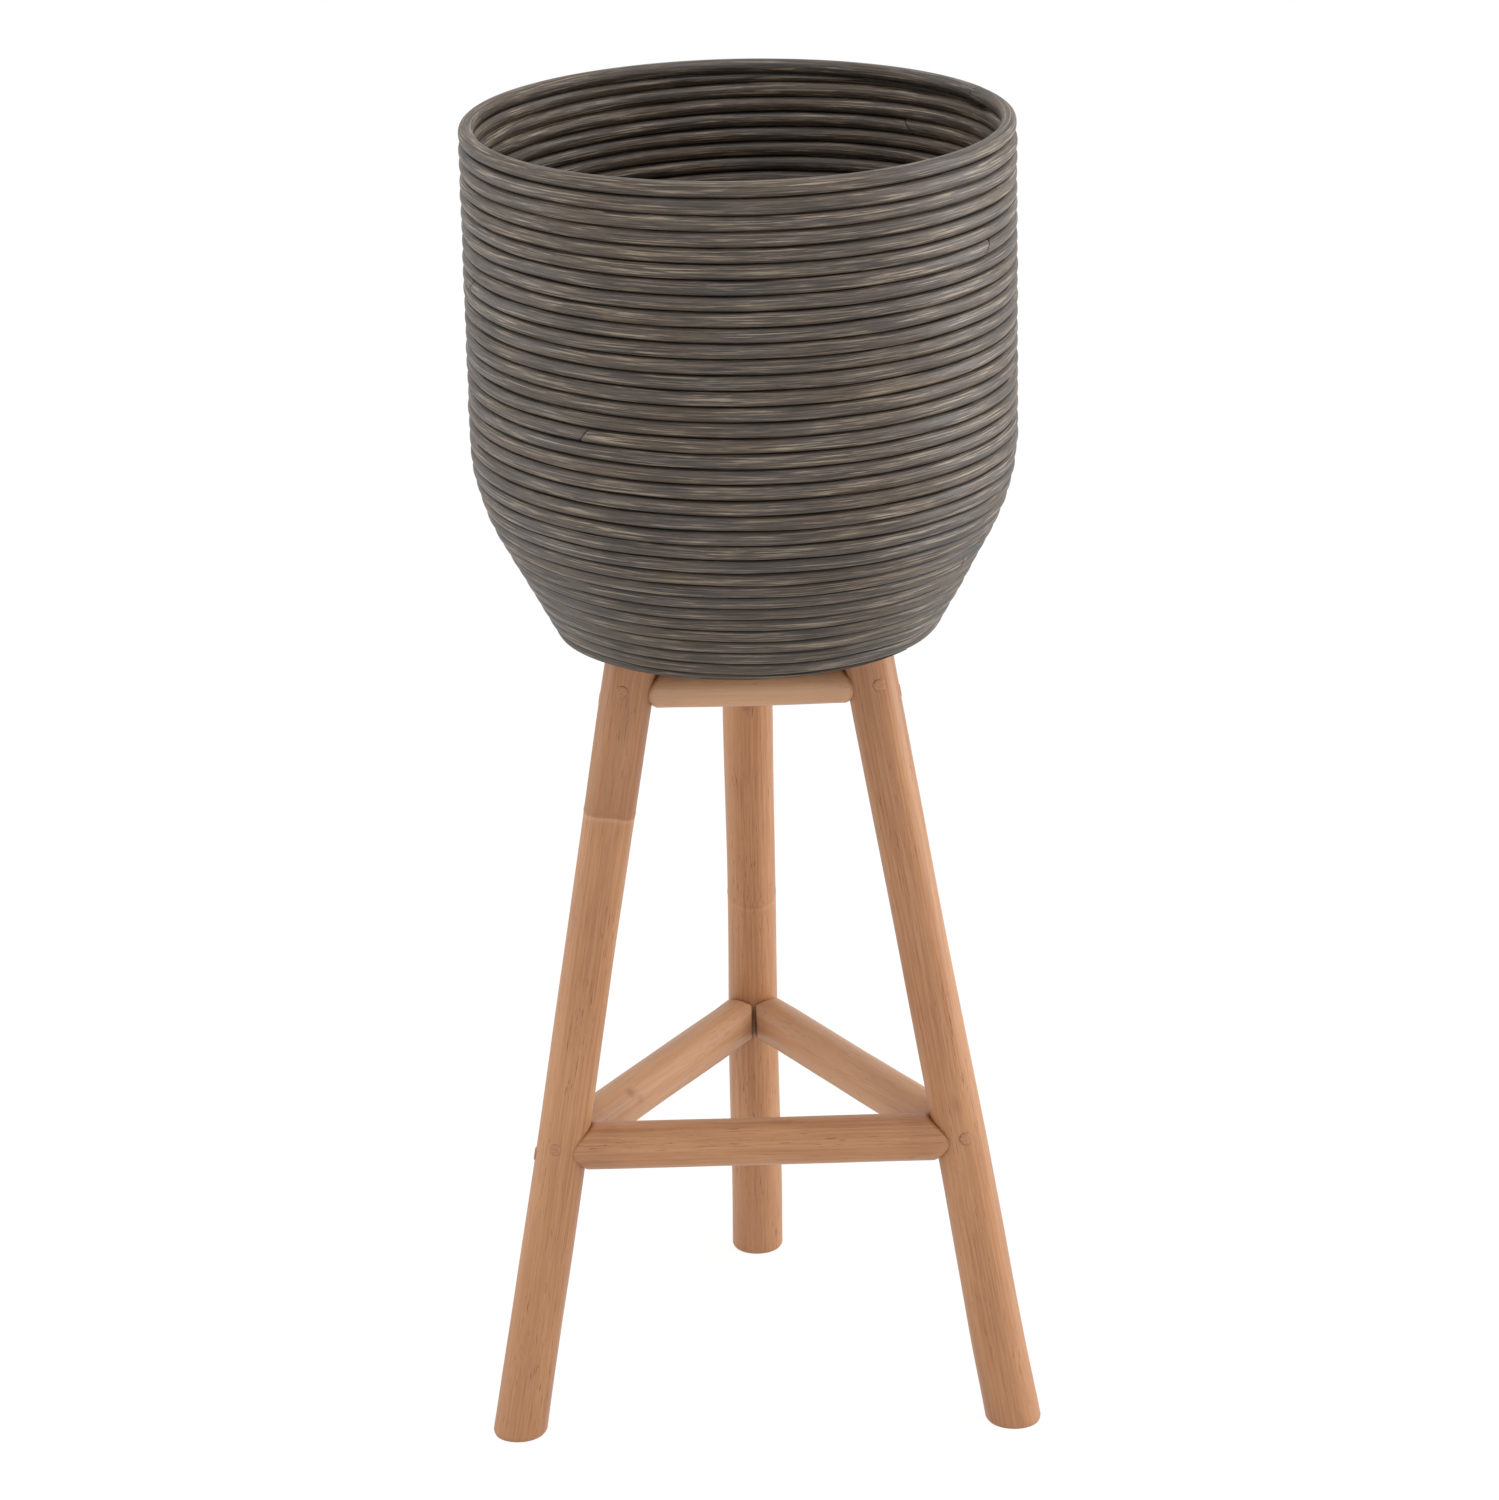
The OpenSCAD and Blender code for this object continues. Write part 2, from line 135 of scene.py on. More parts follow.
# A map's margin at the ends of its strips and beside them, and where its two end caps stand
MAP_EDGE, MAP_SIDE, CAP_AT, CAP_REACH = 0.004, 0.032, (0.3, 0.7), 0.45


def waves(x, seed, length, size):
    """A smooth random line: a sum of sines with lengths round the given one."""
    rng = np.random.default_rng(seed)
    total = np.zeros_like(np.asarray(x, float))
    for _ in range(SINES):
        step = length * 2 ** rng.uniform(-OCTAVES, OCTAVES)
        total += rng.uniform(LEAST_SINE, 1) * np.sin(2 * np.pi * (np.asarray(x) / step + rng.random()))
    return size * total / 2


def smooth(x):
    """A step from 0 to 1 with soft ends."""
    x = np.clip(x, 0, 1)
    return x * x * (3 - 2 * x)


def strip_map(mesh, rings, sides, along, rows):
    """A UV map that lays a tube out as rows of strips, with its two ends in a row of their own."""
    layer = mesh.uv_layers.new(name="OFBake")
    rows_of = np.minimum((np.arange(rings - 1) * rows) // (rings - 1), rows - 1)
    found, height = [], 1 / (rows + 1)
    for i in range(rings - 1):
        row = rows_of[i]
        first, last = np.argmax(rows_of == row), rings - 1 - np.argmax(rows_of[::-1] == row)
        span = along[last] - along[first]
        x0, x1 = ((along[i + d] - along[first]) / span * (1 - 2 * MAP_EDGE) + MAP_EDGE for d in (0, 1))
        for j in range(sides):
            y0, y1 = ((row + MAP_SIDE + (j + d) / sides * (1 - 2 * MAP_SIDE)) * height for d in (0, 1))
            found += [(x0, y0), (x1, y0), (x1, y1), (x0, y1)]
    for side in (0, 1):
        turn = [2 * math.pi * j / sides * (1 if side else -1) for j in range(sides)]
        mid, reach = (CAP_AT[side], 1 - height / 2), CAP_REACH * height
        found += [(mid[0] + reach * math.cos(a), mid[1] + reach * math.sin(a)) for a in turn]
    layer.uv.foreach_set("vector", np.array(found, np.float32).ravel())


def tube(name, points, along, around, tones, material, rows):
    """A closed tube from a grid of points, one row a ring.

    along is each ring's distance down the tube and around each point's place across it, both for the grain. tones
    are further values by point for the material."""
    rings, sides = points.shape[:2]
    index = np.arange(rings * sides).reshape(rings, sides)
    nxt = np.roll(index, -1, axis=1)
    quads = np.stack([index[:-1], index[1:], nxt[1:], nxt[:-1]], axis=-1).reshape(-1, 4)
    mesh = bpy.data.meshes.new(name)
    caps = [index[0].tolist(), index[-1][::-1].tolist()]
    mesh.from_pydata(points.reshape(-1, 3).tolist(), [], quads.tolist() + caps)
    strip_map(mesh, rings, sides, along, rows)
    mesh.polygons.foreach_set("use_smooth", [True] * len(quads) + [False] * 2)
    grain = np.stack([np.broadcast_to(along[:, None], (rings, sides)), around[..., 0], around[..., 1]], axis=-1)
    layer = mesh.attributes.new("grain", "FLOAT_VECTOR", "POINT")
    layer.data.foreach_set("vector", grain.astype(np.float32).ravel())
    for key, value in tones.items():
        layer = mesh.attributes.new(key, "FLOAT", "POINT")
        layer.data.foreach_set("value", np.broadcast_to(value, (rings, sides)).astype(np.float32).ravel())
    mesh.validate()
    return place(name, mesh, material)


def place(name, mesh, material):
    """Puts a mesh into the scene as a piece of the part."""
    mesh.materials.append(material)
    obj = bpy.data.objects.new(name, mesh)
    bpy.context.scene.collection.objects.link(obj)
    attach(obj, "root")
    return obj


# ---------------------------------------------------------------- materials
# Colours as they look on a screen, in 0 to 255: the cane, the poles, the plugs, the floor board and the steel
CANE_BROWN, CANE_OLIVE, CANE_GREY, CANE_BAND = (78, 68, 62), (90, 76, 61), (79, 71, 65), (56, 47, 39)
DARK_HAIR, DARK_FIBRE, WORN_PALE, WORN_TAN = (44, 36, 29), (42, 35, 28), (157, 142, 121), (139, 119, 98)
# The seams' colour is painted shade where the canes meet
CANE_STAIN, SEAM_SHADE_COLOUR = (46, 42, 37), (34, 28, 23)
POLE_DEEP, POLE_LIGHT, POLE_FIBRE, POLE_FINE = (168, 116, 78), (188, 136, 95), (198, 150, 110), (128, 82, 52)
POLE_PORE, POLE_DARK, POLE_PALE = (112, 68, 44), (122, 72, 46), (222, 184, 150)
PLUG_DEEP, PLUG_LIGHT, PLUG_GLUE = (166, 115, 80), (190, 140, 102), (96, 60, 42)
BOARD_DEEP, BOARD_LIGHT, CLOUD_SHARE = (104, 84, 64), (138, 114, 88), 0.72
STEEL_DEEP, STEEL_LIGHT = (128, 130, 134), (164, 163, 157)
# Fine marks each way, as marks a metre, and the board's grain, which runs along y
PLUG_MARKS, STEEL_MARKS, BOARD_MARKS, BOARD_CLOUDS = (900, 900, 900), (900, 900, 900), (60, 14, 60), (40, 40, 40)


def linear(colour):
    """A colour given as it looks on a screen, in 0 to 255."""
    part = [v / 255 for v in colour]
    return tuple(v / 12.92 if v <= 0.04045 else ((v + 0.055) / 1.055) ** 2.4 for v in part) + (1.0,)


class Shader:
    """A material's nodes, added one by one. Most methods give back the new node's output."""

    def __init__(self, name):
        self.material = bpy.data.materials.new(name)
        self.material.use_nodes = True
        self.tree = self.material.node_tree
        self.tree.nodes.clear()
        self.out = self.tree.nodes.new("ShaderNodeOutputMaterial")

    def node(self, kind, inputs=(), **settings):
        made = self.tree.nodes.new(kind)
        for key, value in settings.items():
            setattr(made, key, value)
        for key, value in dict(inputs).items():
            self.put(made.inputs[key], value)
        return made

    def put(self, socket, value):
        if isinstance(value, bpy.types.NodeSocket):
            self.tree.links.new(value, socket)
        else:
            socket.default_value = value

    def attribute(self, name, vector=False):
        return self.node("ShaderNodeAttribute", attribute_name=name).outputs["Vector" if vector else "Fac"]

    def place_on(self, vector, scale, shift=(0, 0, 0)):
        return self.node("ShaderNodeMapping", {"Vector": vector, "Scale": scale, "Location": shift}).outputs[0]

    def noise(self, vector, scale, detail=3.0, roughness=0.55, shift=(0, 0, 0), distortion=0.0):
        return self.node("ShaderNodeTexNoise", {
            "Vector": self.place_on(vector, scale, shift), "Scale": 1.0, "Detail": detail,
            "Roughness": roughness, "Distortion": distortion}).outputs["Fac"]

    def streaks(self, length, width, detail=3.0, roughness=0.6, shift=0.0, distortion=0.0):
        """Noise drawn out along the grain, in marks of about this length and width in metres."""
        grain = self.attribute("grain", vector=True)
        return self.noise(grain, (1 / length, 1 / width, 1 / width), detail, roughness,
                          (shift, 2 * shift, 3 * shift), distortion)

    def span(self, value, low, high, to_low=0.0, to_high=1.0):
        """The value's stretch from low to high, taken softly to to_low and to_high."""
        return self.node("ShaderNodeMapRange", {
            "Value": value, "From Min": low, "From Max": high, "To Min": to_low, "To Max": to_high},
            interpolation_type="SMOOTHSTEP").outputs[0]

    def math(self, operation, a, b):
        return self.node("ShaderNodeMath", {0: a, 1: b}, operation=operation).outputs[0]

    def mix(self, factor, a, b, blend="MIX"):
        # A mix node has its inputs and output for colours after those for numbers and vectors
        made = self.node("ShaderNodeMix", {0: factor}, data_type="RGBA", blend_type=blend)
        self.put(made.inputs[6], a)
        self.put(made.inputs[7], b)
        return made.outputs[2]

    def bump(self, height, strength, distance):
        return self.node("ShaderNodeBump", {
            "Height": height, "Strength": strength, "Distance": distance}).outputs[0]

    def finish(self, colour, roughness, normal, **flat):
        shader = self.node("ShaderNodeBsdfPrincipled", {
            "Base Color": colour, "Roughness": roughness, "Normal": normal})
        for key, value in flat.items():
            shader.inputs[key.replace("_", " ")].default_value = value
        self.tree.links.new(shader.outputs[0], self.out.inputs[0])
        return self.material


def cane_look(name):
    """Grey-washed cane: patches of brown and grey, pale and dark hairlines and flecks along it, and painted shade in
    its seams, on the cone, on the last turn and deep inside.
    """
    m = Shader(name)
    patch = m.streaks(0.090, 0.0165, shift=31, distortion=0.4)
    hue = m.streaks(0.200, 0.0330, detail=2.0, roughness=0.5, shift=3)
    band = m.streaks(0.110, 0.0030, shift=4)
    fibre = m.streaks(0.042, 0.00095)
    hair = m.streaks(0.032, 0.0012, detail=2.0, shift=7)
    fleck = m.streaks(0.012, 0.0007, detail=2.0, shift=23)
    colour = m.mix(m.span(patch, 0.38, 0.62), linear(CANE_BROWN), linear(CANE_OLIVE))
    colour = m.mix(m.span(hue, 0.45, 0.68, 0.0, 0.40), colour, linear(CANE_GREY))
    colour = m.mix(m.span(band, 0.32, 0.50, 0.45, 0.0), colour, linear(CANE_BAND))
    colour = m.mix(m.span(hair, 0.36, 0.48, 0.60, 0.0), colour, linear(DARK_HAIR))
    colour = m.mix(m.span(fibre, 0.38, 0.49, 0.75, 0.0), colour, linear(DARK_FIBRE))
    # Pale hairlines where the wash has worn, in clusters, and fewer tan ones
    clusters = m.span(m.streaks(0.060, 0.0050, shift=2), 0.40, 0.60)
    worn = m.span(fibre, 0.52, 0.60)
    amount = m.math("MULTIPLY", m.math("MULTIPLY", worn, clusters), 0.72)
    colour = m.mix(amount, colour, linear(WORN_PALE))
    clusters = m.span(m.streaks(0.075, 0.0060, detail=2.0, roughness=0.5, shift=9), 0.48, 0.66)
    tan = m.span(hair, 0.53, 0.61)
    amount = m.math("MULTIPLY", m.math("MULTIPLY", tan, clusters), 0.45)
    colour = m.mix(amount, colour, linear(WORN_TAN))
    stain = m.span(m.streaks(0.056, 0.0067, detail=4.0, shift=19), 0.62, 0.74)
    colour = m.mix(m.math("MULTIPLY", stain, 0.6), colour, linear(CANE_STAIN))
    colour = m.mix(1.0, colour, m.span(fleck, 0.32, 0.68, 0.84, 1.16), "MULTIPLY")
    # Painted shade: near black in the seams between the canes, with a soft painted shade beside them
    colour = m.mix(m.attribute("painted_seam_shade"), colour, linear(SEAM_SHADE_COLOUR))
    # Each length's own random tone, with painted shade on the cone, the last turn and deep inside, and painted light
    # near the top inside
    colour = m.mix(1.0, colour, m.attribute("tone_and_painted_shade"), "MULTIPLY")
    height = m.math("ADD", m.math("MULTIPLY", fibre, 0.7), m.math("MULTIPLY", hair, 0.5))
    roughness = m.span(patch, 0.3, 0.7, 0.44, 0.56)
    return m.finish(colour, roughness, m.bump(height, 0.7, 0.0006), Specular_IOR_Level=0.5)


def pole_look(name):
    """Peeled rattan pole under a satin lacquer: long pale fibres, short dark pores, rings and knots, with painted
    shade and painted light carried by its marks.
    """
    m = Shader(name)
    fibre = m.streaks(0.110, 0.0019, detail=4.0)
    fine = m.streaks(0.022, 0.00053, shift=5)
    cloud = m.streaks(0.170, 0.0290, roughness=0.55, shift=8, distortion=0.3)
    colour = m.mix(m.span(cloud, 0.34, 0.66), linear(POLE_DEEP), linear(POLE_LIGHT))
    colour = m.mix(m.span(fibre, 0.36, 0.66, 0.0, 0.5), colour, linear(POLE_FIBRE))
    colour = m.mix(m.span(fine, 0.32, 0.50, 0.34, 0.0), colour, linear(POLE_FINE))
    clusters = m.span(m.streaks(0.070, 0.0110, detail=2.0, roughness=0.5, shift=6), 0.46, 0.60)
    pores = m.span(m.streaks(0.011, 0.0009, detail=2.0, roughness=0.5, shift=3), 0.60, 0.70)
    amount = m.math("MULTIPLY", m.math("MULTIPLY", pores, clusters), 0.6)
    colour = m.mix(amount, colour, linear(POLE_PORE))
    # The dark marks hold the nodes, knots and glue, with painted shade at the joints and feet; the pale ones hold the
    # nodes' pale lines, with painted light on the rails
    colour = m.mix(m.attribute("dark"), colour, linear(POLE_DARK))
    colour = m.mix(m.attribute("pale"), colour, linear(POLE_PALE))
    height = m.math("ADD", m.math("MULTIPLY", fibre, 0.6), m.math("MULTIPLY", fine, 0.3))
    roughness = m.span(cloud, 0.3, 0.7, 0.40, 0.50)
    return m.finish(colour, roughness, m.bump(height, 0.35, 0.0004), Specular_IOR_Level=0.38)


def board_look(name):
    """Plain wood for the floor board, placed by the object's coordinates."""
    m = Shader(name)
    spot = m.node("ShaderNodeTexCoord").outputs["Object"]
    fibre = m.noise(spot, BOARD_MARKS, 4.0, 0.6, (1, 2, 3), 0.6)
    cloud = m.noise(spot, BOARD_CLOUDS, 3.0, 0.6)
    colour = m.mix(m.span(fibre, 0.35, 0.65), linear(BOARD_DEEP), linear(BOARD_LIGHT))
    colour = m.mix(m.span(cloud, 0.4, 0.7, 0.0, 0.35), colour, linear([v * CLOUD_SHARE for v in BOARD_DEEP]))
    return m.finish(colour, m.span(fibre, 0.3, 0.7, 0.5, 0.65), m.bump(fibre, 0.3, 0.0004))


def steel_look(name):
    """Zinc-plated steel with a faint mottle."""
    m = Shader(name)
    spot = m.node("ShaderNodeTexCoord").outputs["Object"]
    cloud = m.noise(spot, STEEL_MARKS, 3.0, 0.6)
    colour = m.mix(m.span(cloud, 0.35, 0.65), linear(STEEL_DEEP), linear(STEEL_LIGHT))
    return m.finish(colour, m.span(cloud, 0.3, 0.7, 0.34, 0.48), m.bump(cloud, 0.15, 0.0002), Metallic=1.0)


cane = cane_look("grey cane")
pole = pole_look("pole")


# ---------------------------------------------------------------- the wall's canes
# The directions round a section, in degrees from outwards, closest where two canes meet on the outside
OUTER, INNER = [13, 26, 38, 48, 56, 63, 70, 78], [100, 115, 130, 146, 163]
THETA = np.radians([0, *OUTER, 90, *INNER, 180,
                    *[360 - a for a in INNER[::-1]], 270, *[360 - a for a in OUTER[::-1]]])
# The outer half, with its top and bottom
OUTWARD = np.cos(THETA) > -0.01
# How square the canes' sections are outside and inside; 2 is a circle
WALL_SECTION, RIM_SECTION = (2.4, 2.15), (2.4, 2.2)
# A seam's share of the half pitch, drawn as painted shade between the canes: outside on the wall, outside on the rim,
# and inside.
# LEAN_SEAM is how much wider the painted shade is above a fully leaning cane.
WALL_SEAM, RIM_SEAM, INNER_SEAM, LEAN_SEAM = 0.118, 0.2, 0.26, 0.9
# How a seam's width varies: the length and size of its short and long waves, and its bounds
SEAM_SHORT, SEAM_LONG, SEAM_BOUNDS = (0.05, 0.2), (0.4, 0.5), (0.5, 2.4)
# How dark a seam's painted shade is, over what share of it that fades in, and the soft painted shade beside it with
# its share of the half pitch
SEAM_DARK, SEAM_FADE, SHADE, SHADE_WIDTH = 0.97, 0.9, 0.30, 0.55
# Where a cane thins out, its seams stay at least this share of their width
THIN_SEAM = 0.15
WALL_SEAM_SEED, RIM_SEAM_SEED = 14, 24
# What is this far off makes no seam
FAR_OFF = 1


def section(outer, inner):
    """A round section made a little squarer on its outer and its inner half, as radius by angle."""
    flat = np.where(OUTWARD, outer, inner)
    c, s = np.abs(np.cos(THETA)), np.abs(np.sin(THETA))
    return (c ** flat + s ** flat) ** (-1 / flat)


def paint_seam_shade(z, top, bottom, along, seed, width=WALL_SEAM, lean=0.0):
    """Painted shade on a cane: near black in the seams above and below it, with a soft painted shade beside them.

    A seam's painted shade is wider on the inside and above a leaning cane, and narrower where the top turn thins out."""
    vary = 1 + waves(along, seed, *SEAM_SHORT) + waves(along, seed + 1, *SEAM_LONG)
    vary = np.clip(vary, *SEAM_BOUNDS)[:, None]
    outside = np.where(z > 0, width * (1 + lean), width)
    full = np.clip((top - bottom) / PITCH, THIN_SEAM, 1)
    seam = PITCH / 2 * np.where(OUTWARD, outside, INNER_SEAM) * vary * full
    depth = np.maximum(z - top, bottom - z)
    line = SEAM_DARK * smooth((depth + seam) / (SEAM_FADE * seam))
    shade = SHADE * smooth(1 + depth / (SHADE_WIDTH * PITCH / 2 * full))
    return np.clip(np.maximum(line, shade), 0, 1)


# A joint: the gap between two lengths, how far its slant reaches, and how its ends are worn
JOINT_GAP, SLANT_L, WORN_L, WORN = 0.0005, 0.016, 0.0016, 0.10
# The closer rings of points at a cane's ends, which take the place of its last two regular ones
END_RINGS = np.array([0, 0.00025, 0.0008, 0.0018, 0.003])
RING_STEP, LAST_LENGTH, RIM_RINGS = 0.0058, 10, 260
# The tangent is taken over this many turns
AHEAD = 1e-4
# The grain of each length starts this far from the last one's, along it and across it
GRAIN_ALONG, GRAIN_ACROSS, RIM_GRAIN = 3.9, 0.05, 0.9
# Waves of the wall's canes, as seed, length and size: up and down, in and out, and in their thickness
SWAY_UP, SWAY_OUT, WALL_GIRTH = (11, 0.16, 0.00010), (12, 0.12, 0.00025), (13, 0.09, 0.006)
# The turns press together, so their canes are this much fuller than the pitch
FULLER = 1.008
# The top turn grows to its full height over this length
TOP_GROWTH = 0.012
# Waves of a cane's tone, as seed, length and size, and the tone's bounds
TONE_LONG, TONE_SHORT, TONE_BOUNDS = (15, 0.5, 0.06), (16, 0.11, 0.04), (0.6, 1.25)
# How far each length's own tone strays, and the seed before the first length's
TONE_SPREAD, TONE_SEED = 0.05, 40
# How much painted shade darkens the cone and the last turn, and from where and over how many turns the latter is
PAINTED_CONE_SHADE, PAINTED_LAST_SHADE, LAST_FROM, LAST_OVER = 0.09, 0.18, 0.9, 0.25
# Waves of the rim, as seed, length and size: in its thickness, in and out, and in its tone with its bounds
RIM_GIRTH, RIM_SWAY, RIM_TONE, RIM_TONE_BOUNDS = (21, 0.1, 0.006), (22, 0.25, 0.0003), (23, 0.2, 0.06), (0.7, 1.2)
# In how many rows the canes' maps are laid out
WALL_MAP_ROWS, RIM_MAP_ROWS = 11, 7
# The inside's painted shade deep down, how much painted light it gains at the top, and over what depth
INSIDE_DEEP_SHADE, INSIDE_TOP_LIGHT, LIT_DEPTH = 0.98, 0.24, 0.10


def wall_cane(i):
    """One length of the wall's cane, from one slanted joint to the next."""
    trim = JOINT_GAP / 2 / TURN_L
    first = STARTS[i - 1] + (trim if i > 1 else 0)
    last = STARTS[i] - (trim if i < LAST_LENGTH else 0)
    u = np.linspace(first, last, int((last - first) * TURN_L / RING_STEP))
    u = np.concatenate([first + END_RINGS / TURN_L, u[2:-2], (last - END_RINGS / TURN_L)[::-1]])
    mid = np.array([turn_point(t) for t in u])
    ahead = np.array([turn_point(t + AHEAD) for t in u])
    above = np.array([turn_point(t - 1) for t in u])
    tangent = (ahead - mid) / np.linalg.norm(ahead - mid, axis=1)[:, None]
    up = above - mid
    up -= tangent * (up * tangent).sum(1)[:, None]
    up /= np.linalg.norm(up, axis=1)[:, None]
    out = np.cross(tangent, up)
    along = np.concatenate([[0], np.cumsum(np.linalg.norm(np.diff(mid, axis=0), axis=1))]) + GRAIN_ALONG * i
    mid = mid + up * waves(along, *SWAY_UP)[:, None] + out * waves(along, *SWAY_OUT)[:, None]
    radius = PITCH / 2 * (FULLER + waves(along, *WALL_GIRTH))
    grid = radius[:, None] * section(*WALL_SECTION)[None, :]
    slant = np.zeros(len(u))
    for joint, there in ((first, i > 1), (last, i < LAST_LENGTH)):
        if there:
            far = np.abs(u - joint) * TURN_L
            grid = grid * (1 - WORN * np.clip(1 - far / WORN_L, 0, 1)[:, None] ** 2)
            slant += 1 - smooth(far / SLANT_L)
    y, z = grid * np.cos(THETA), grid * np.sin(THETA)
    room = (SEAT_Z - mid[:, 2])[:, None]
    if i == 1:
        # The top turn is a little fuller where the rim leaves it, up to the winding's shaved end
        grown = smooth((TOP_END + 1 - u) * TURN_L / TOP_GROWTH)[:, None]
        fuller = np.clip(room - PITCH / 2, 0, None) * grown
        z = z * np.where(z > 0, 1 + fuller / (PITCH / 2), 1)
    slide = slant[:, None] * math.tan(JOINT_SLANT) * z
    points = (mid[:, None, :] + out[:, None, :] * y[..., None] + up[:, None, :] * z[..., None]
              + tangent[:, None, :] * slide[..., None])
    if i == 1:
        points[..., 2] = np.minimum(points[..., 2], SEAT_Z)
    points[..., 2] = np.maximum(points[..., 2], STAND_H)
    leaning = LEAN_SEAM * np.sqrt(np.clip(1 - up[:, 2] ** 2, 0, 1)) / math.sin(LEAN)
    # Each length has its own tone. Painted shade darkens the cone a little and the last turn more, and inside, painted
    # light brightens it towards the top
    tone_and_painted_shade = 1 + waves(along, *TONE_LONG) + waves(along, *TONE_SHORT)
    tone_and_painted_shade = tone_and_painted_shade * np.random.default_rng(TONE_SEED + i).uniform(1 - TONE_SPREAD, 1 + TONE_SPREAD)
    last_turn = smooth((u - (LOW_END - LAST_FROM)) / LAST_OVER)
    tone_and_painted_shade = tone_and_painted_shade * (1 - PAINTED_CONE_SHADE * leaning / LEAN_SEAM) * (1 - PAINTED_LAST_SHADE * last_turn)
    inside = INSIDE_DEEP_SHADE + INSIDE_TOP_LIGHT * smooth(1 - (SEAT_Z - mid[:, 2]) / LIT_DEPTH)
    tone_and_painted_shade = np.clip(tone_and_painted_shade[:, None] * np.where(OUTWARD, 1, inside[:, None]), *TONE_BOUNDS)
    around = np.stack([y + GRAIN_ACROSS * i, z], axis=-1)
    over = np.minimum(room, z.max()) if i == 1 else PITCH / 2
    under = np.where(u < LOW_END - 1, -PITCH / 2, -FAR_OFF)[:, None]
    # Painted shade in the seams above and below this cane
    painted_seam_shade = paint_seam_shade(z, over, under, along, WALL_SEAM_SEED, lean=leaning[:, None])
    made = tube("wall_length_%d" % i, points, along, around, {"painted_seam_shade": painted_seam_shade, "tone_and_painted_shade": tone_and_painted_shade},
                cane, WALL_MAP_ROWS)
    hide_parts("wall_cane_%d" % i)


for number in range(1, LAST_LENGTH + 1):
    wall_cane(number)


def rim_cane():
    """The rim: one cane bent to a ring, with its two ends meeting in a slanted joint."""
    gap = JOINT_GAP / RIM_R
    start = math.radians(RIM_JOINT_AT - 90)
    ends = END_RINGS / RIM_R
    angle = np.concatenate([gap / 2 + ends, np.linspace(gap / 2, 2 * math.pi - gap / 2, RIM_RINGS)[2:-2],
                            (2 * math.pi - gap / 2 - ends)[::-1]])
    far = np.minimum(angle, 2 * math.pi - angle) * RIM_R
    along = angle * RIM_R
    worn = 1 - WORN * np.clip(1 - far / WORN_L, 0, 1) ** 2
    radius = RIM_D / 2 * (1 + waves(along, *RIM_GIRTH)) * worn
    grid = radius[:, None] * section(*RIM_SECTION)[None, :]
    y, z = grid * np.cos(THETA), grid * np.sin(THETA)
    slide = (1 - smooth(far / SLANT_L))[:, None] * math.tan(JOINT_SLANT) * z / RIM_R
    turn = start + angle[:, None] - slide
    reach = RIM_R + y + waves(along, *RIM_SWAY)[:, None]
    points = np.stack([reach * np.cos(turn), reach * np.sin(turn) + AXIS.y, RIM_Z + z], axis=-1)
    # Painted shade in the seam under the rim
    painted_seam_shade = paint_seam_shade(z, FAR_OFF, -RIM_D / 2, along, RIM_SEAM_SEED, RIM_SEAM)
    tone_and_painted_shade = np.clip(1 + waves(along, *RIM_TONE), *RIM_TONE_BOUNDS)[:, None]
    around = np.stack([y + RIM_GRAIN, z], axis=-1)
    made = tube("rim_ring", points, along, around, {"painted_seam_shade": painted_seam_shade, "tone_and_painted_shade": tone_and_painted_shade}, cane, RIM_MAP_ROWS)
    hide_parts("rim_cane")


rim_cane()


# ---------------------------------------------------------------- poles
def leg_point(name, z):
    """The middle of a leg at a height."""
    a = math.radians(LEG_AT[name])
    r = FOOT_R + (TOP_R - FOOT_R) * z / STAND_H
    return AXIS + Vector((r * math.cos(a), r * math.sin(a), z))


def leg_radius(name, z):
    """A leg's radius at a height."""
    return LEG_D / 2 * np.interp(z, np.linspace(0, STAND_H, len(GIRTH[name])), GIRTH[name])


def leg_ray(name, point, direction, clearance):
    """How far along a ray it last comes this close to a leg's surface, or None."""
    radius = leg_radius(name, point.z) + clearance
    foot = leg_point(name, 0)
    axis = (leg_point(name, STAND_H) - foot).normalized()
    p = point - foot
    p = p - axis * p.dot(axis)
    d = direction - axis * direction.dot(axis)
    a, b, c = d.dot(d), 2 * p.dot(d), p.dot(p) - radius ** 2
    inside = b * b - 4 * a * c
    return None if inside < 0 else (-b + math.sqrt(inside)) / (2 * a)


POLE_SIDES, POLE_MAP_ROWS = 48, 4
# Round a pole backwards, so that its faces look outwards
POLE_THETA = -2 * np.pi * np.arange(POLE_SIDES) / POLE_SIDES
# A pole's rings of points: their step, where that begins, and the closer ones near an end, as first and last
# distance and number
POLE_STEP, POLE_MARGIN, NEAR_END = 0.006, 0.03, (0.0035, 0.027, 7)
# Still closer rings at a node or knot: how many on each side, how far apart, and from where they replace others
CLOSE_RINGS, CLOSE_STEP, CLOSE_REACH = 6, 0.00095, 0.0062
# Waves of a pole, as length and size: in its thickness, slow and quick, and in its line, which is straight at its ends
POLE_SLOW, POLE_QUICK, POLE_BEND, STRAIGHT_L = (0.3, 0.006), (0.09, 0.002), (0.45, 0.0004), 0.06
# How oval a pole is, and how far across its grain is from that of the next seed
OVAL, GRAIN_APART = 0.006, 0.37
# A node is a growth ring. Its edge wanders by these sines, as times round the pole, size and share of the seed,
# over this length
NODE_WANDER, WANDER_L = [(1, 0.0011, 1), (2, 0.0006, 2.1), (5, 0.0003, 1)], 0.012
# A node's swelling and the groove below it, as place and half length, and the groove's share of the swelling
SWELLING, GROOVE, GROOVE_SHARE = (0.0012, 0.0028), (-0.0006, 0.0011), 0.6
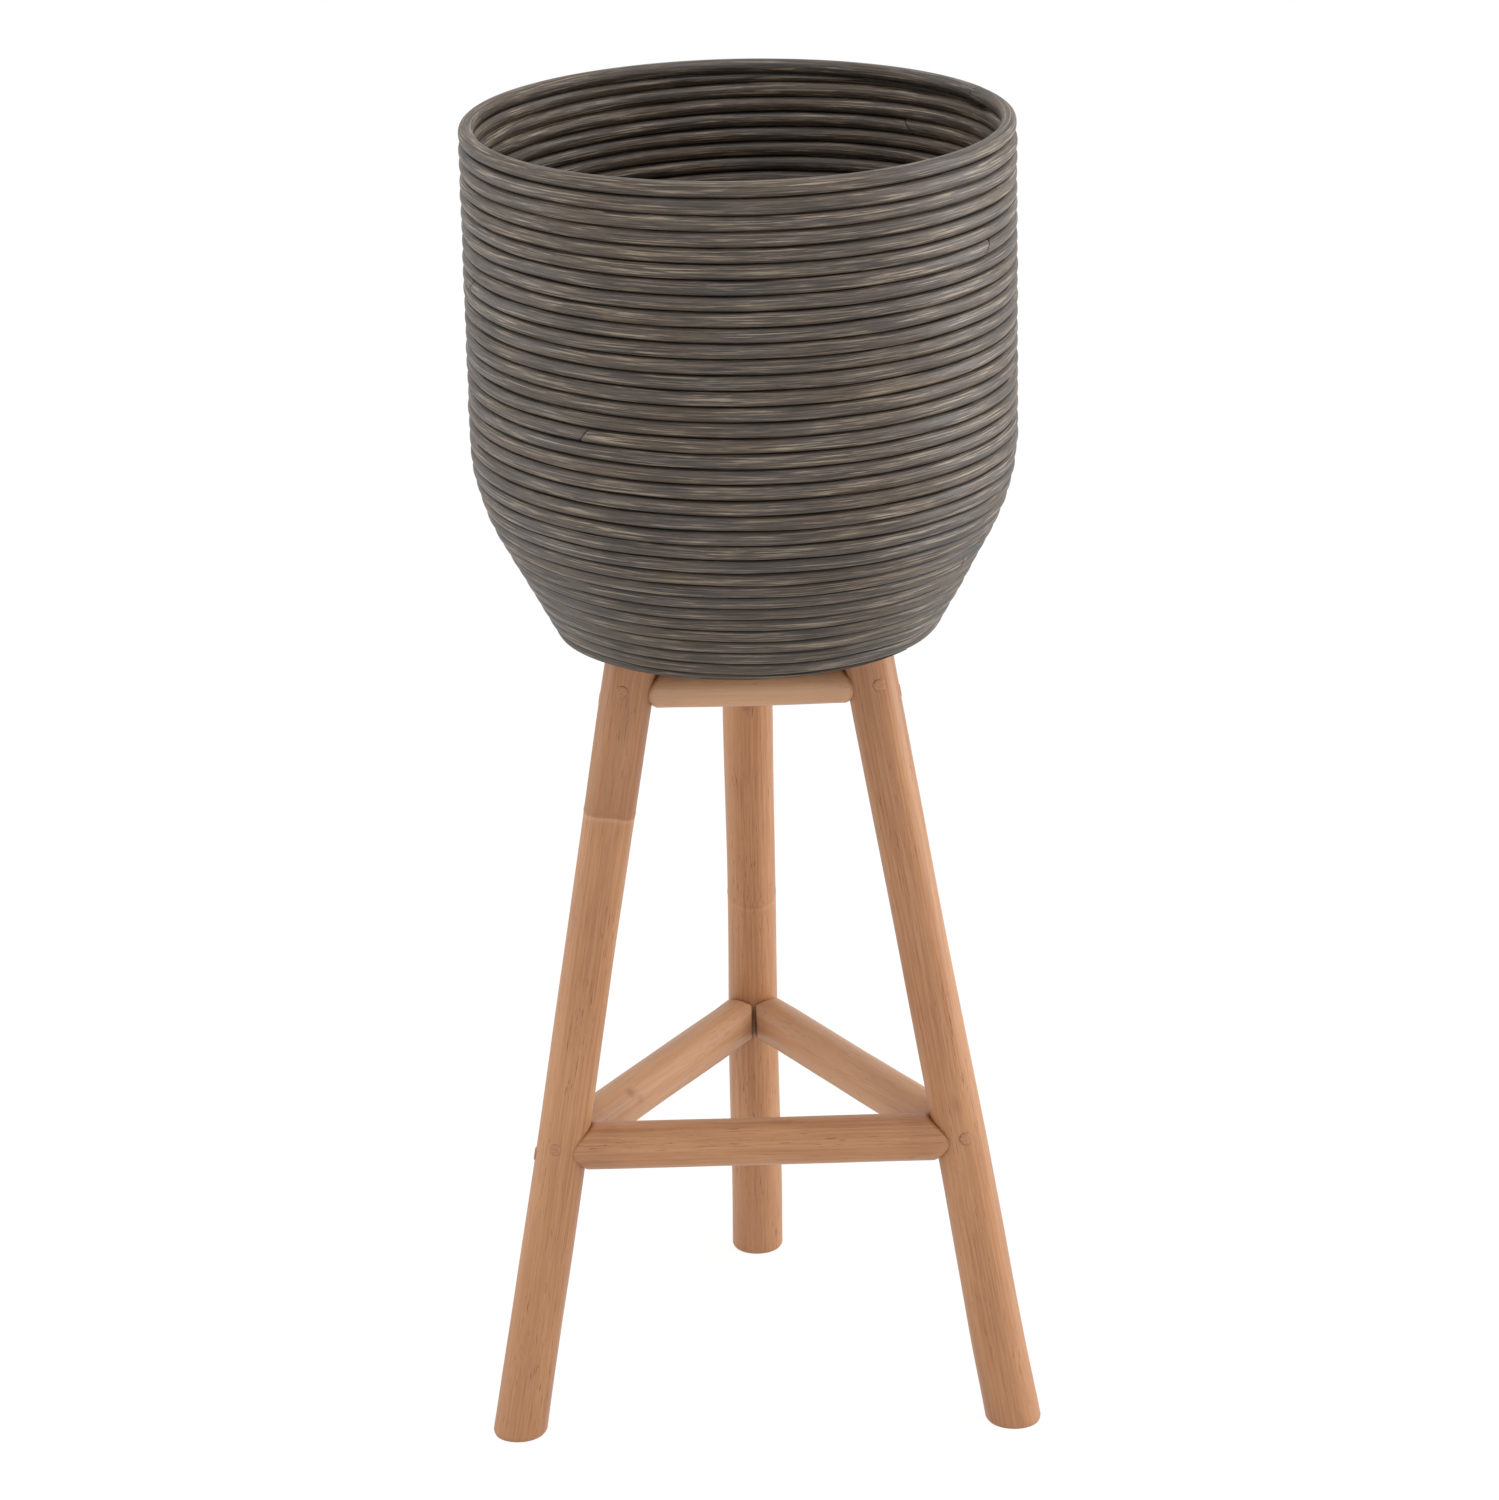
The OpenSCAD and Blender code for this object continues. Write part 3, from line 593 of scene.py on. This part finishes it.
# A node's dark line and the pale one below it, as place and half length, the pale one's share of the dark one, and
# the length over which the pole is darker past the node
DARK_LINE, PALE_LINE, PALE_SHARE, PAST_L = (-0.0006, 0.0009), (-0.0026, 0.0014), 0.40, 0.05
KNOT_WIDTH = 0.0032
# A pole's rounded end: its length and depth as shares of round_ends, and how fast it rounds
ROUND_LENGTH, ROUND_DEPTH, ROUND_POWER = 2.2, 1.1, 1.5
# The ends' slants and copes die out over this length, and the glue at them over the next one
COPE_L, GLUE_L = 0.05, 0.0014
# The most that the dark and the pale marks cover
MOST_DARK, MOST_PALE = 0.9, 0.7


def across_pole(axis):
    """Two directions square to a pole and to each other. A steep pole takes the first one from +y."""
    side = axis.cross(Vector((0, 0, 1)) if abs(axis.z) < 0.9 else Vector((0, 1, 0))).normalized()
    return side, axis.cross(side)


def hump(distance, place_at, half_length):
    """A smooth bump of height 1."""
    return np.exp(-((distance - place_at) / half_length) ** 2)


def pole_piece(name, low, high, diameter, starts, stops, nodes, knots, seed, shades, round_ends, glue=0.0,
               painted_light=0.0, girth=(1, 1)):
    """A pole from low to high. starts and stops say where each of its lines begins and ends.

    nodes are its growth rings, knots are small dark spots, shades are stretches of painted shade, glue is how dark its
    very ends are, the argument after glue is painted light that makes the pole paler, and girth its thickness at even
    steps."""
    axis = (high - low).normalized()
    side, other = across_pole(axis)
    length = (high - low).length
    end_rings = [*np.linspace(*NEAR_END), 0, round_ends, ROUND_LENGTH * round_ends]
    rings = [*np.arange(POLE_MARGIN, length - POLE_MARGIN, POLE_STEP), *end_rings, *[length - e for e in end_rings]]
    for at, *_ in nodes + knots:
        closer = at + np.arange(-CLOSE_RINGS, CLOSE_RINGS + 1) * CLOSE_STEP
        rings = [r for r in rings if abs(r - at) > CLOSE_REACH] + list(closer)
    rings = np.sort(np.array(rings))
    from_end = np.minimum(rings, length - rings)
    ends = np.clip(1 - from_end / (ROUND_LENGTH * round_ends), 0, 1)
    radius = diameter / 2 * (1 + waves(rings, seed, *POLE_SLOW) + waves(rings, seed + 1, *POLE_QUICK))
    radius *= np.interp(rings / length, np.linspace(0, 1, len(girth)), girth)
    bend = np.stack([waves(rings, seed + 2, *POLE_BEND), waves(rings, seed + 3, *POLE_BEND)], axis=1)
    bend *= smooth(from_end / STRAIGHT_L)[:, None]
    dark = np.zeros((len(rings), POLE_SIDES))
    # The pale marks start from painted light over the whole pole
    pale = np.full_like(dark, painted_light)
    shift = np.zeros_like(dark)
    for at, bump, line, step in nodes:
        d = (rings - at)[:, None]
        wander = sum(size * np.sin(times * POLE_THETA + phase * seed) for times, size, phase in NODE_WANDER)
        shift = shift + wander[None, :] * hump(d, 0, WANDER_L)
        radius = radius + bump * (hump(rings - at, *SWELLING) - GROOVE_SHARE * hump(rings - at, *GROOVE))
        dark = dark + line * hump(d, *DARK_LINE) + step * (d > 0) * np.exp(-d / PAST_L)
        pale = pale + PALE_SHARE * line * hump(d, *PALE_LINE)
    for at, angle, half_length, amount in knots:
        across = diameter / 2 * np.abs(np.angle(np.exp(1j * (POLE_THETA - math.radians(angle)))))
        dark = dark + amount * hump(rings, at, half_length)[:, None] * hump(across, 0, KNOT_WIDTH)
    # Painted shade over stretches of the pole
    for at, reach, amount in shades:
        dark = dark + amount * hump(rings, at, reach)[:, None]
    radius = radius - ends ** ROUND_POWER * round_ends * ROUND_DEPTH
    oval = 1 + OVAL * np.cos(2 * POLE_THETA + seed)
    y = radius[:, None] * np.cos(POLE_THETA) * oval + bend[:, :1]
    z = radius[:, None] * np.sin(POLE_THETA) * oval + bend[:, 1:]
    near, far_end = 1 - smooth(rings / COPE_L), 1 - smooth((length - rings) / COPE_L)
    s = rings[:, None] + shift + near[:, None] * starts[None, :] + far_end[:, None] * (stops[None, :] - length)
    points = (np.array(low)[None, None] + s[..., None] * np.array(axis) + y[..., None] * np.array(side)
              + z[..., None] * np.array(other))
    rim = np.clip(1 - from_end / GLUE_L, 0, 1)[:, None]
    tones = {"dark": np.clip(dark + glue * rim, 0, MOST_DARK), "pale": np.clip(pale, 0, MOST_PALE)}
    around = np.stack([y + GRAIN_APART * seed, z], axis=-1)
    return tube(name, points, rings, around, tones, pole, POLE_MAP_ROWS)


def line_starts(low, high, diameter, solve):
    """Where each of a pole's lines meets what ends it. solve takes a point of the line and its direction."""
    axis = (high - low).normalized()
    side, other = across_pole(axis)
    return np.array([solve(low + (side * math.cos(t) + other * math.sin(t)) * diameter / 2, axis)
                     for t in POLE_THETA])


def level(z):
    """A pole's end that is cut level."""
    return lambda p, d: (z - p.z) / d.z


# A node's place along its leg, its swelling, how dark its line is and how dark the pole is past it
LEG_NODES = {"leg_left": [(0.437, 0.0003, 0.50, 0.34)], "leg_right": [], "leg_rear": [(0.3025, 0.0003, 0.2, 0.08)]}
# A knot's place along its pole, its angle round it, its half length and how dark it is
LEG_KNOTS = {"leg_left": [], "leg_right": [(0.231, 95, 0.006, 0.35)], "leg_rear": [(0.461, 87, 0.0024, 0.5)]}
LEG_SEEDS = {"leg_left": 50, "leg_right": 57, "leg_rear": 66}
LEG_ROUND, RAIL_ROUND, RAIL_GLUE = 0.0012, 0.0018, 0.55
# Stretches of painted shade on a leg, as half length and amount: at the rails, and at its foot with the place of the
# middle
TOP_SHADE, LOW_SHADE, FOOT_SHADE = (0.03, 0.12), (0.02, 0.06), (0.02, 0.09, 0.17)
# Painted shade at a rail's ends: the place of their middle from the end, their half length and amount
RAIL_SHADE = (0.02, 0.016, 0.16)
# What is left free between a rail and its leg, and between two rails where they meet
RAIL_FREE = 0.00015

for name in LEG_AT:
    foot, head = leg_point(name, 0), leg_point(name, STAND_H)
    starts = line_starts(foot, head, LEG_D, level(0))
    stops = line_starts(foot, head, LEG_D, level(STAND_H))
    # Painted shade where the rails meet the leg
    shades = [(z / math.cos(LEG_LEAN), *shade) for z, shade in ((TOP_RAIL_Z, TOP_SHADE), (LOW_RAIL_Z, LOW_SHADE))]
    made = pole_piece(name + "_pole", foot, head, LEG_D, starts, stops, LEG_NODES[name], LEG_KNOTS[name],
                      LEG_SEEDS[name], shades + [FOOT_SHADE], round_ends=LEG_ROUND, girth=GIRTH[name])
    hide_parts(name)

# Each side's name and its rails' two legs
SIDE_LEGS = [("front", "leg_left", "leg_right"), ("right", "leg_right", "leg_rear"),
             ("left", "leg_rear", "leg_left")]
# How much painted light makes each rail paler
PAINTED_LIGHT = {("top", "front"): 0.40, ("top", "left"): 0.12, ("top", "right"): 0.12,
          ("low", "front"): 0.0, ("low", "left"): 0.18, ("low", "right"): 0.22}
RAIL_KNOTS = {"low_left": [(0.192, 226, 0.0042, 0.85), (0.186, 200, 0.0035, 0.45)],
              "low_right": [(0.246, 215, 0.002, 0.30)]}
# The seed of each level's first rail, and the step to the next one
RAIL_SEEDS, SEED_STEP = {"top": 90, "low": 120}, 5


def rail_piece(level_name, k, z, diameter):
    """A rail between two legs, coped to them and mitred against its neighbours."""
    side_name, a, b = SIDE_LEGS[k]
    low, high = leg_point(a, z), leg_point(b, z)
    centre = Vector((AXIS.x, AXIS.y, z))

    def end(name, other):
        """The end at leg name: where a line leaves the leg and the plane that halves its corner, the further one."""
        across = (leg_point(other, z) - leg_point(name, z)).normalized()
        to_leg = (leg_point(name, z) - centre).normalized()
        beside = Vector((-to_leg.y, to_leg.x, 0))
        if beside.dot(across) < 0:
            beside = -beside

        def solve(p, d):
            forward = d if d.dot(across) > 0 else -d
            cope = leg_ray(name, p, forward, RAIL_FREE)
            mitre = (RAIL_FREE - (p - centre).dot(beside)) / forward.dot(beside)
            found = mitre if cope is None else max(cope, mitre)
            return found if d.dot(across) > 0 else -found
        return solve

    starts = line_starts(low, high, diameter, end(a, b))
    stops = line_starts(low, high, diameter, end(b, a))
    name = "%s_rail_%s" % (level_name, side_name)
    knots = RAIL_KNOTS.get("%s_%s" % (level_name, side_name), [])
    # Painted shade at both ends of the rail
    at, *shade = RAIL_SHADE
    shades = [(at, *shade), ((high - low).length - at, *shade)]
    made = pole_piece(name + "_pole", low, high, diameter, starts, stops, [], knots,
                      RAIL_SEEDS[level_name] + SEED_STEP * k, shades, round_ends=RAIL_ROUND, glue=RAIL_GLUE,
                      painted_light=PAINTED_LIGHT[level_name, side_name])
    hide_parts(name)


for k in range(3):
    rail_piece("top", k, TOP_RAIL_Z, TOP_RAIL_D)
    rail_piece("low", k, LOW_RAIL_Z, LOW_RAIL_D)


# ---------------------------------------------------------------- plugs
def plug_look():
    """End grain of the plugs, with a dark line of glue round each."""
    m = Shader("plug")
    grain = m.attribute("grain", vector=True)
    fibre = m.noise(grain, PLUG_MARKS, 4.0, 0.6)
    colour = m.mix(m.span(fibre, 0.35, 0.65), linear(PLUG_DEEP), linear(PLUG_LIGHT))
    colour = m.mix(m.attribute("dark"), colour, linear(PLUG_GLUE))
    return m.finish(colour, 0.5, m.bump(fibre, 0.3, 0.0003), Specular_IOR_Level=0.4)


# A plug's rings from its middle outwards and down: its share of the radius, its height over the leg's surface and
# how dark it is. The line of glue stands round it, and its body goes down into the leg.
PLUG_RINGS = [(0.30, 0.00042, 0.10), (0.55, 0.00040, 0.10), (0.75, 0.00037, 0.12), (0.88, 0.00033, 0.16),
              (0.95, 0.00026, 0.20), (1.00, 0.00012, 0.40), (1.00, 0.00005, 0.50), (1.05, 0.00004, 0.38),
              (1.10, -0.00030, 0.30), (1.00, -0.00600, 0.30)]
PLUG_SIDES = 32
# Where the screws stand at the two ends of a front, right and left rail: up or down, and further in or not
SCREW_RISES = [(-1, -1), (1, -1), (1, 1)]
SCREW_SHIFTS = [(0, 0), (1, 0), (0, 1)]


def plug_pieces():
    """The twelve plugs over the rails' screws, each following the round of its leg."""
    verts, faces, grains, darks = [], [], [], []
    up = Vector((0, 0, 1))
    for k, (_, a, b) in enumerate(SIDE_LEGS):
        for z in (TOP_RAIL_Z, LOW_RAIL_Z):
            for end, name, other in ((0, a, b), (1, b, a)):
                leg = leg_point(name, z)
                outward = (leg - leg_point(other, z)).normalized()
                inward = (Vector((AXIS.x, AXIS.y, z)) - leg).normalized()
                inward = (inward - outward * inward.dot(outward)).normalized()
                mid = leg + inward * SCREW_SHIFT * SCREW_SHIFTS[k][end] + up * SCREW_RISES[k][end] * SCREW_RISE
                beside = up.cross(outward)
                base = len(verts)
                for share, lift, dark in PLUG_RINGS:
                    r = share * PLUG_D / 2
                    for t in np.arange(PLUG_SIDES) * 2 * np.pi / PLUG_SIDES:
                        p = mid + beside * r * math.cos(t) + up * r * math.sin(t)
                        verts.append(tuple(p + outward * leg_ray(name, p, outward, lift)))
                        # Each plug takes its grain from another spot
                        grains.append((r * math.cos(t) + k + 3 * end, r * math.sin(t) + z, 0))
                        darks.append(dark)
                ring = [[base + i * PLUG_SIDES + j for j in range(PLUG_SIDES)] for i in range(len(PLUG_RINGS))]
                faces += [ring[0], ring[-1][::-1]]
                faces += [(inner[j - 1], outer[j - 1], outer[j], inner[j])
                          for inner, outer in zip(ring, ring[1:]) for j in range(PLUG_SIDES)]
    mesh = bpy.data.meshes.new("plugs")
    mesh.from_pydata(verts, [], faces)
    layer = mesh.attributes.new("grain", "FLOAT_VECTOR", "POINT")
    layer.data.foreach_set("vector", np.array(grains, np.float32).ravel())
    layer = mesh.attributes.new("dark", "FLOAT", "POINT")
    layer.data.foreach_set("value", np.array(darks, np.float32))
    mesh.polygons.foreach_set("use_smooth", [True] * len(mesh.polygons))
    mesh.validate()
    made = place("plug_caps", mesh, plug_look())
    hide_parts("screw_plugs")


plug_pieces()

# ---------------------------------------------------------------- the frame's own pieces
board, steel = board_look("floor board"), steel_look("screw steel")
NEW_LOOKS = {"base_board": board, "rail_screws": steel, "base_screws": steel, "wall_brads": steel, "rim_brads": steel}
for name, look in NEW_LOOKS.items():
    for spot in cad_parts[name].material_slots:
        spot.material = look

# ---------------------------------------------------------------- camera, floor and light
# The camera as solved from the photo: its place from the bowl's axis, and how far it pans, looks down and rolls
CAMERA_AT = (-0.0453, -3.3588, 1.6483)
PAN, LOOK_DOWN, ROLL = -0.01324, 0.342518, -0.021504
LENS, SENSOR = 128.52, 36
# The floor's half width and height, its grey, and how bright and how much of it is plain white to the camera
FLOOR_HALF, FLOOR_Z, FLOOR_GREY, FLOOR_WHITE, WHITE_SHARE = 30, -0.0004, 0.86, 1.06, 0.88
# The room's white light, on the part and as the camera sees it
ROOM_LIGHT, ROOM_SEEN = 0.6, 1.0
# Each lamp's place, what it looks at, its width and height, and its watts
LAMPS = {"left": ((-2.3, 0.1, 1.0), (0, 0, 0.5), (1.4, 2.2), 16.5),
         "right": ((2.3, 0.1, 1.0), (0, 0, 0.5), (1.4, 2.2), 45),
         "above": ((0.0, -0.5, 2.8), (0, 0, 0.6), (1.8, 1.4), 17),
         "front": ((0.2, -2.8, 0.5), (0, 0, 0.45), (1.6, 0.8), 8)}

camera = bpy.data.objects.new("camera", bpy.data.cameras.new("camera"))
bpy.context.scene.collection.objects.link(camera)
camera.data.lens, camera.data.sensor_width = LENS, SENSOR
camera.data.clip_start, camera.data.clip_end = 0.1, 100
turn = (Matrix.Rotation(PAN, 4, "Z") @ Matrix.Rotation(math.pi / 2 - LOOK_DOWN, 4, "X")
        @ Matrix.Rotation(ROLL, 4, "Z"))
camera.matrix_world = Matrix.Translation(Vector(CAMERA_AT) + AXIS) @ turn
bpy.context.scene.camera = camera
bpy.context.scene.view_settings.view_transform = "Standard"


def floor():
    """A wide pale floor. The camera sees it mostly as plain white with the part's soft shadow."""
    mesh = bpy.data.meshes.new("floor")
    corners = [(-1, -1), (1, -1), (1, 1), (-1, 1)]
    mesh.from_pydata([(FLOOR_HALF * x, FLOOR_HALF * y, FLOOR_Z) for x, y in corners], [], [(0, 1, 2, 3)])
    made = bpy.data.objects.new("floor", mesh)
    bpy.context.scene.collection.objects.link(made)
    m = Shader("floor")
    seen = m.node("ShaderNodeLightPath")
    rays = m.math("MAXIMUM", seen.outputs["Is Camera Ray"],
                  m.math("MAXIMUM", seen.outputs["Is Glossy Ray"], seen.outputs["Is Transmission Ray"]))
    plain = m.node("ShaderNodeBsdfDiffuse", {"Color": (FLOOR_GREY, FLOOR_GREY, FLOOR_GREY, 1)}).outputs[0]
    white = m.node("ShaderNodeEmission", {"Color": (1, 1, 1, 1), "Strength": FLOOR_WHITE}).outputs[0]
    share = m.math("MULTIPLY", rays, WHITE_SHARE)
    both = m.node("ShaderNodeMixShader", {0: share, 1: plain, 2: white}).outputs[0]
    m.tree.links.new(both, m.out.inputs[0])
    mesh.materials.append(m.material)


floor()

world = bpy.data.worlds.new("studio")
bpy.context.scene.world = world
world.use_nodes = True
tree = world.node_tree
back = tree.nodes["Background"]
path = tree.nodes.new("ShaderNodeLightPath")
shown = path.outputs["Is Camera Ray"]
for ray in ("Is Glossy Ray", "Is Transmission Ray"):
    either = tree.nodes.new("ShaderNodeMath")
    either.operation = "MAXIMUM"
    tree.links.new(shown, either.inputs[0])
    tree.links.new(path.outputs[ray], either.inputs[1])
    shown = either.outputs[0]
strength = tree.nodes.new("ShaderNodeMapRange")
strength.inputs["To Min"].default_value = ROOM_LIGHT
strength.inputs["To Max"].default_value = ROOM_SEEN
tree.links.new(shown, strength.inputs[0])
tree.links.new(strength.outputs[0], back.inputs["Strength"])
back.inputs["Color"].default_value = (1, 1, 1, 1)


def lamp(name, place_at, look_at, size, power):
    """A soft rectangular lamp that faces a point."""
    data = bpy.data.lights.new(name, "AREA")
    data.shape, data.size, data.size_y, data.energy = "RECTANGLE", size[0], size[1], power
    made = bpy.data.objects.new(name, data)
    bpy.context.scene.collection.objects.link(made)
    made.location = place_at
    made.rotation_euler = (Vector(look_at) - Vector(place_at)).to_track_quat("-Z", "Y").to_euler()


for name, values in LAMPS.items():
    lamp(name, *values)
